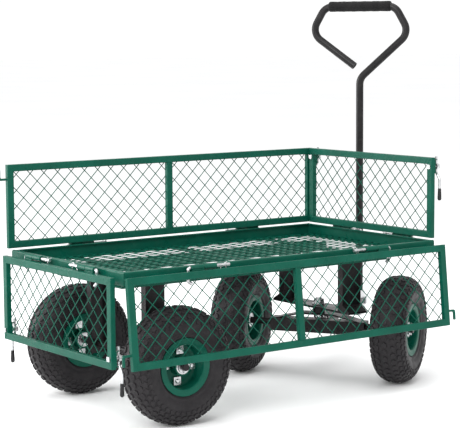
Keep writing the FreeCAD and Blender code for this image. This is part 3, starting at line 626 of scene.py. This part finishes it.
# ---- folding sides ------------------------------------------------------------------------------------
def panel_place(side, fold):
    """From a panel's own frame (along, outwards, up from its hinge line) to the cart."""
    turn = math.radians({"left": 0, "right": 180, "front": -90, "rear": 90}[side])
    reach = (deck_half.y if side in ("left", "right") else deck_half.x) + hinge_out
    return spin(turn) @ shift(0, reach, hinge_height) @ Matrix.Rotation(-math.radians(fold), 4, "X")


def add_panel_frame(bm, half, hinge, middle_bar):
    top = panel_bottom + panel_height
    outer = panel_inner + panel_depth
    profile = [(p.x, p.y) for p in rounded([(0, panel_inner), (bar_width, panel_inner), (bar_width, outer),
                                            (0, outer)], bar_radius)]
    add_mitred(bm, profile, half, panel_bottom, top, lambda u, v, w: (u, v, w))
    if middle_bar:
        add_box(bm, (-bar_width / 2, panel_inner, panel_bottom + bar_width - 1 * MM),
                (bar_width / 2, outer, top - bar_width + 1 * MM), bar_radius)
        for w in (panel_bottom + bar_width, top - bar_width):
            for v in (panel_inner, outer):
                add_bead(bm, (-bar_width / 2 + 1 * MM, v, w), (bar_width / 2 - 1 * MM, v, w), 1.1 * MM, 3)
    for su in (-1, 1):
        for w, way in ((panel_bottom, 1), (top, -1)):
            for v, seed in ((panel_inner + 0.5 * MM, 5), (outer - 0.5 * MM, 6)):
                outer_end = (su * (half - 1.5 * MM), v, w + way * 1.5 * MM)
                inner_end = (su * (half - bar_width + 1 * MM), v, w + way * (bar_width - 1 * MM))
                add_bead(bm, outer_end, inner_end, 1.1 * MM, seed)
    for way in (-1, 1):
        add_knuckle(bm, Matrix.Identity(4), way, hinge + hinge_gap, hinge + hinge_length, False)


def add_hook(bm, end):
    """The hook past one end of a long side: a flat plate that runs outwards and turns up."""
    top = panel_bottom + panel_height
    low = top - latch_drop - 14 * MM
    tip = top - latch_drop / 2
    middle = panel_inner + panel_depth / 2
    start = side_half - 1.5 * MM
    stop = side_half + hook_reach
    outline = [(start, low), (stop, low), (stop, tip), (stop - hook_bar, tip),
               (stop - hook_bar, low + hook_bar), (start, low + hook_bar)]
    radii = [0, 6 * MM, 2.4 * MM, 2.4 * MM, 4 * MM, 0]
    points = [(end * p.x, middle - hook_thickness / 2, p.y) for p in rounded(outline, radii)]
    add_prism(bm, points, (0, hook_thickness, 0))
    for v in (middle - hook_thickness / 2, middle + hook_thickness / 2):
        add_bead(bm, (end * side_half, v, low - 0.5 * MM),
                 (end * side_half, v, low + hook_bar + 0.5 * MM), 1.3 * MM, 4)


def add_bracket(bm, end):
    """The folded plate that carries a latch lever, on a gate's corner."""
    x = end * (gate_half - bar_width / 2)
    z = panel_bottom + panel_height - latch_drop
    outer = panel_inner + panel_depth
    low = z - 16 * MM
    high = z + 18 * MM
    front = outer + 7.5 * MM
    half = bar_width / 2
    add_box(bm, (x - half, outer - 0.4 * MM, low), (x + half, outer + 2 * MM, high), 0.7 * MM)
    for base in (low, high - 2 * MM):
        add_box(bm, (x - half, outer - 0.4 * MM, base), (x + half, front, base + 2 * MM), 0.7 * MM)


def wire_ends(offset, low_u, high_u, low_w, high_w, slope):
    """Where the line u * slope + w = offset crosses a rectangle."""
    ends = []
    for u in (low_u, high_u):
        w = offset - slope * u
        if low_w <= w <= high_w:
            ends.append((u, w))
    for w in (low_w, high_w):
        u = (offset - w) / slope
        if low_u < u < high_u:
            ends.append((u, w))
    return sorted(set(ends))


def add_wire_mesh(bm, low_u, high_u, low_w, high_w, depth, seed):
    """Two layers of straight wires that cross at right angles and are welded where they meet."""
    rng = random.Random(seed)
    middle_u = (low_u + high_u) / 2
    middle_w = (low_w + high_w) / 2
    reach = (high_u - low_u) + (high_w - low_w)
    count = int(reach / mesh_pitch) + 1
    for slope, layer in ((1, 0.92 * mesh_wire), (-1, -0.92 * mesh_wire)):
        for k in range(-count, count + 1):
            offset = slope * middle_u + middle_w + (k + 0.5) * mesh_pitch
            ends = wire_ends(offset, low_u, high_u, low_w, high_w, slope)
            if len(ends) < 2 or (Vector(ends[0]) - Vector(ends[-1])).length < 8 * MM:
                continue
            (u0, w0), (u1, w1) = ends[0], ends[-1]
            sag = rng.uniform(-0.25, 0.25) * MM
            points = []
            for t in (0, 0.25, 0.5, 0.75, 1):
                bow = math.sin(math.pi * t) * sag
                points.append((u0 + (u1 - u0) * t, depth + layer + bow * 0.4, w0 + (w1 - w0) * t + bow))
            add_wire(bm, points, mesh_wire)


def panel(name, side, body, fold, long_side):
    half, hinge = (side_half, side_hinge) if long_side else (gate_half, gate_hinge)
    place = panel_place(side, fold)
    bm = bmesh.new()
    add_panel_frame(bm, half, hinge, long_side)
    for end in (-1, 1):
        if long_side:
            add_hook(bm, end)
        else:
            add_bracket(bm, end)
    finish_piece(name + "_frame_finish", bm, "green_enamel", body, [name + "_frame"], place)
    bm = bmesh.new()
    edge = bar_width - 2 * MM
    low_w = panel_bottom + edge
    high_w = panel_bottom + panel_height - edge
    depth = panel_inner + panel_depth - mesh_from_outside
    bays = [(-half + edge, half - edge)]
    if long_side:
        bays = [(-half + edge, -bar_width / 2 + 2 * MM), (bar_width / 2 - 2 * MM, half - edge)]
    for number, (low_u, high_u) in enumerate(bays):
        add_wire_mesh(bm, low_u, high_u, low_w, high_w, depth, number + 11)
    finish_piece(name + "_mesh_finish", bm, "green_enamel", body, [name + "_mesh"], place, weighted=False)


def lever_grips():
    """Dipped vinyl grips: slim, a little thicker towards a round end."""
    for gate in ("front", "rear"):
        for hand in ("left", "right"):
            node = "lever_grip_%s_%s" % (gate, hand)
            low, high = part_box(node)
            middle = (low + high) / 2
            length = high.z - low.z
            radius = (high.x - low.x) / 2
            profile = [(0, 0), (0.4 * MM, radius * 0.45), (1.6 * MM, radius * 0.8), (4 * MM, radius),
                       (9 * MM, radius), (length - 5 * MM, radius * 0.84), (length - 1 * MM, radius * 0.82),
                       (length, radius * 0.74), (length, 3.0 * MM), (length - 2 * MM, 3.0 * MM),
                       (length - 2 * MM, 0)]
            bm = bmesh.new()
            add_turned(bm, profile, (middle.x, middle.y, low.z), UP, 28)
            finish_piece(node + "_finish", bm, "grip_rubber", "lever_%s_%s" % (gate, hand), [node])


# ---- wheels ----------------------------------------------------------------------------------------------
def wheel_place(gate, hand):
    """From a wheel's own frame (axle along Y, outer side at +Y) to the cart."""
    joint = joints["wheel_%s_%s_spin" % (gate, hand)]
    x, y, _ = joint["axis"]
    outward = 0 if hand == "left" else math.pi
    return Matrix.Translation(joint["pos_m"]) @ spin(math.atan2(-x, y) + outward)


def carcass(share):
    """The tyre's outer skin under the tread: share runs from -1 to 1, from shoulder to shoulder."""
    angle = share * math.radians(84)
    centre = 91 * MM
    height = tyre_radius - 2.6 * MM - centre
    half = tyre_half - 0.4 * MM
    power = 0.86
    along = half * math.copysign(abs(math.sin(angle)) ** power, angle)
    radius = centre + height * math.cos(angle) ** power
    return along, radius


def tyre_profile():
    """(along, radius) points round the tyre's section, outer skin first."""
    crown = [carcass(k / 14) for k in range(-14, 15)]
    wall = [(42.6, 88), (41.6, 82), (39.8, 76.5), (38.2, 73.4), (37.6, 71.6), (37.9, 70.0), (37.4, 68.2),
            (35.6, 66.0), (33.4, 63.8), (31.8, 62.0), (31.6, 56), (31.6, 50.4), (20, 50.4),
            (22, 62), (33, 74), (35, 92), (30, 108), (16, 115)]
    side = [(a * MM, r * MM) for a, r in wall]
    return crown + side + [(-a, r) for a, r in side[::-1]]


def add_knob(bm, share, turn, long_way, wide_way, height, taper):
    """A six-sided tread block, standing on the skin at a place across and round the tyre."""
    along, radius = carcass(share)
    nearby = carcass(share + 0.01)
    tangent = Vector((0, nearby[0] - along, nearby[1] - radius)).normalized()
    base = Vector((0, along, radius))
    normal = Vector((0, -tangent.z, tangent.y))
    if normal.z < 0:
        normal.negate()
    rotate = Matrix.Rotation(turn, 3, "Y")
    rings = []
    for lift, scale in ((-0.8 * MM, 1.05), (height * 0.72, 1.0), (height, taper)):
        ring = []
        for k in range(6):
            a = math.pi / 3 * k
            point = base + normal * lift
            point = point + ALONG * (long_way * scale * math.cos(a))
            point = point + tangent * (wide_way * scale * math.sin(a))
            drop = (point.x ** 2) / (2 * radius)
            ring.append(bm.verts.new(rotate @ (point - normal * drop)))
        rings.append(ring)
    for one, two in zip(rings, rings[1:]):
        for k in range(6):
            j = (k + 1) % 6
            bm.faces.new((one[k], one[j], two[j], two[k]))
    bm.faces.new(rings[-1])
    bm.faces.new(rings[0][::-1])


def tyre_mesh():
    bm = bmesh.new()
    add_turned(bm, tyre_profile(), (0, 0, 0), ACROSS, 96, closed=True)
    around = 44
    rows = [(0.0, 7.6, 6.6, 2.6), (0.27, 7.4, 6.2, 2.5), (0.52, 7.2, 5.6, 2.4), (0.75, 6.8, 5.4, 2.2),
            (0.955, 5.6, 5.2, 1.7)]
    for number, (share, long_way, wide_way, height) in enumerate(rows):
        for sign in ((1,) if share == 0 else (1, -1)):
            for k in range(around):
                turn = 2 * math.pi * (k + 0.5 * (number % 2)) / around
                add_knob(bm, sign * share, turn, long_way * MM, wide_way * MM, height * MM, 0.86)
    bmesh.ops.recalc_face_normals(bm, faces=bm.faces)
    mesh = bpy.data.meshes.new("tyre")
    bm.to_mesh(mesh)
    bm.free()
    return mesh


def rim_mesh():
    """Two pressed halves, back to back: a hub cup, a dished centre and a rolled flange."""
    bm = bmesh.new()
    edge = rim_half_width
    outline = [(0.2 * MM, bearing_radius), (0.2 * MM, seat_radius), (edge - rim_plate, seat_radius),
               (edge - rim_plate, flange_radius), (edge, flange_radius), (edge, seat_radius - rim_plate),
               (rim_plate, seat_radius - rim_plate), (rim_plate, hub_radius), (bearing_face, hub_radius),
               (bearing_face, bearing_radius)]
    radii = [0, 7 * MM, 4 * MM, 1 * MM, 1 * MM, 5 * MM, 9 * MM, 3.5 * MM, 0.8 * MM, 0.5 * MM]
    profile = [(p.x, p.y) for p in rounded(outline, radii, 5)]
    add_turned(bm, profile, (0, 0, 0), ACROSS, 72, closed=True)
    add_turned(bm, profile, (0, 0, 0), -ACROSS, 72, closed=True)
    return bm


def add_wheel_bolt(bm, x, z):
    """A square head on one side and a square nut with the bolt's end on the other."""
    half = wheel_bolt_head / 2
    for way in (-1, 1):
        corners = [(x - half, z - half), (x + half, z - half), (x + half, z + half), (x - half, z + half)]
        outline = rounded(corners, 0.8 * MM, 2)
        base = way * rim_plate
        thick = way * wheel_bolt_height
        points = [(p.x, base, p.y) for p in outline]
        add_prism(bm, points, (0, thick, 0), 0.5 * MM)
        disc = [(0, 0), (0, half * 0.92), (0.35 * MM, half * 0.88), (0.35 * MM, 0)]
        add_turned(bm, disc, (x, base + thick, z), ACROSS * way, 28)
    end = rim_plate + wheel_bolt_height
    shank = [(0, 0), (0, wheel_bolt_radius)]
    for k in range(4):
        shank += [(0.5 * MM + k * 0.9 * MM, wheel_bolt_radius),
                  (0.95 * MM + k * 0.9 * MM, wheel_bolt_radius - 0.45 * MM)]
    shank += [(4.2 * MM, wheel_bolt_radius - 1.2 * MM), (4.2 * MM, 0)]
    add_turned(bm, shank, (x, end - 0.2 * MM, z), ACROSS, 28)


def bolt_places():
    angles = [math.radians(90 * n + wheel_bolt_turn) for n in range(4)]
    return [(bolt_circle * math.cos(angle), bolt_circle * math.sin(angle)) for angle in angles]


def bearing_mesh():
    """A sealed ball bearing in each hub cup: two races with a recessed seal between them."""
    bm = bmesh.new()
    face = bearing_face
    inner = 8.1 * MM
    outline = [(14 * MM, inner), (14 * MM, bearing_radius), (face - 0.5 * MM, bearing_radius),
               (face, bearing_radius - 0.6 * MM), (face, bearing_radius - 2.4 * MM),
               (face - 0.9 * MM, bearing_radius - 2.8 * MM), (face - 0.9 * MM, inner + 2.8 * MM),
               (face, inner + 2.4 * MM), (face, inner + 0.5 * MM), (face - 0.5 * MM, inner)]
    add_turned(bm, outline, (0, 0, 0), ACROSS, 40, closed=True)
    add_turned(bm, outline, (0, 0, 0), -ACROSS, 40, closed=True)
    return bm


def wheels():
    tread = tyre_mesh()
    for gate in ("front", "rear"):
        for hand in ("left", "right"):
            tag = "_%s_%s" % (gate, hand)
            place = wheel_place(gate, hand)
            body = "wheel" + tag
            bm = bmesh.new()
            bm.from_mesh(tread)
            finish_piece("tyre%s_finish" % tag, bm, "tyre_rubber", body, ["tyre" + tag], place, 32, False)
            finish_piece("rim%s_finish" % tag, rim_mesh(), "green_enamel", body, ["rim" + tag],
                         place, 40, False)
            bm = bmesh.new()
            for x, z in bolt_places():
                add_wheel_bolt(bm, x, z)
            finish_piece("wheel_bolts%s_finish" % tag, bm, "zinc_plate", body, ["wheel_bolts" + tag], place)
            finish_piece("bearings%s_finish" % tag, bearing_mesh(), "zinc_plate", body,
                         ["bearings" + tag], place)
    bpy.data.meshes.remove(tread)


# ---- handle -----------------------------------------------------------------------------------------------
def handle_grip():
    """A foam sleeve: soft round ends, slightly uneven along its length."""
    low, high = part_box("handle_grip")
    middle = (low + high) / 2
    x, y, _ = joints["handle_tilt"]["axis"]
    direction = Vector((x, y, 0)).normalized()
    bore = 9.8 * MM
    profile = [(0, bore), (-0.2 * MM, grip_radius - 3 * MM), (0.8 * MM, grip_radius - 1.3 * MM),
               (2.8 * MM, grip_radius - 0.2 * MM)]
    steps = 26
    for k in range(1, steps):
        along = 4 * MM + (2 * grip_half - 8 * MM) * k / steps
        swell = 0.25 * MM * math.sin(k * 1.3) + 0.15 * MM * math.sin(k * 2.9)
        profile.append((along, grip_radius - 0.3 * MM + swell))
    length = 2 * grip_half
    profile += [(length - 2.8 * MM, grip_radius - 0.2 * MM), (length - 0.8 * MM, grip_radius - 1.3 * MM),
                (length + 0.2 * MM, grip_radius - 3 * MM), (length, bore)]
    bm = bmesh.new()
    add_turned(bm, profile, middle - direction * grip_half, direction, 40, closed=True)
    grip = finish_piece("handle_grip_finish", bm, "foam", "handle", ["handle_grip"], None, 50, False)


# ---- stage -----------------------------------------------------------------------------------------------
def stage():
    bm = bmesh.new()
    size = 60
    corners = [(-size, -size, ground), (size, -size, ground), (size, size, ground), (-size, size, ground)]
    add_faces(bm, corners, [(0, 1, 2, 3)])
    floor = make_object("studio_floor", bm, pale_floor())
    world = bpy.data.worlds.new("studio")
    world.use_nodes = True
    world.node_tree.nodes["Background"].inputs["Color"].default_value = (1.0, 1.0, 1.0, 1)
    world.node_tree.nodes["Background"].inputs["Strength"].default_value = 1.06
    scene.world = world
    soft_light("key", (-3.4, -1.6, 2.4), 2.2, 120)
    soft_light("side", (-1.9, 2.0, 0.7), 1.3, 42)
    soft_light("top", (0.3, -0.6, 4.2), 2.6, 70)
    scene.view_settings.view_transform = "Standard"


def soft_light(name, place, size, power):
    light = bpy.data.lights.new(name, "AREA")
    light.size = size
    light.energy = power
    obj = bpy.data.objects.new(name, light)
    obj.location = place
    obj.visible_camera = False
    obj.rotation_euler = (Vector((0, 0, 0)) - Vector(place)).to_track_quat("-Z", "Y").to_euler()
    scene.collection.objects.link(obj)


def camera():
    """At the cart's rear right, a little above the deck, with a long lens."""
    yaw, pitch, roll = 0.6352, 0.1063, -0.0057
    forward = Vector((math.cos(pitch) * math.sin(yaw), math.cos(pitch) * math.cos(yaw), -math.sin(pitch)))
    right = forward.cross(UP).normalized()
    up = right.cross(forward)
    tilted_right = right * math.cos(roll) + up * math.sin(roll)
    tilted_up = up * math.cos(roll) - right * math.sin(roll)
    data = bpy.data.cameras.new("camera")
    data.sensor_width = 36
    data.lens = 128.05
    obj = bpy.data.objects.new("camera", data)
    turn = Matrix((tilted_right, tilted_up, -forward)).transposed().to_4x4()
    obj.matrix_world = shift(-2.2425, -3.0553, 0.5015) @ turn
    scene.collection.objects.link(obj)
    scene.camera = obj



paint_frame()
camera()
stage()
deck_rim()
deck_floor()
panel("side_left", "left", "side_left", 0, True)
panel("side_right", "right", "side_right", joints["side_right_raise"]["range_deg"][1], True)
panel("gate_front", "front", "gate_front", 0, False)
panel("gate_rear", "rear", "gate_rear", joints["gate_rear_raise"]["range_deg"][1], False)
lever_grips()
wheels()
handle_grip()
for node in ("deck_underframe", "rear_legs", "front_bracket", "steering_beam", "tongue", "clevis"):
    soften(node, 1.0 * MM)
for node in ("leg_bolts", "kingpin_nut", "handle_bolt", "kingpin"):
    soften(node, 0.5 * MM)
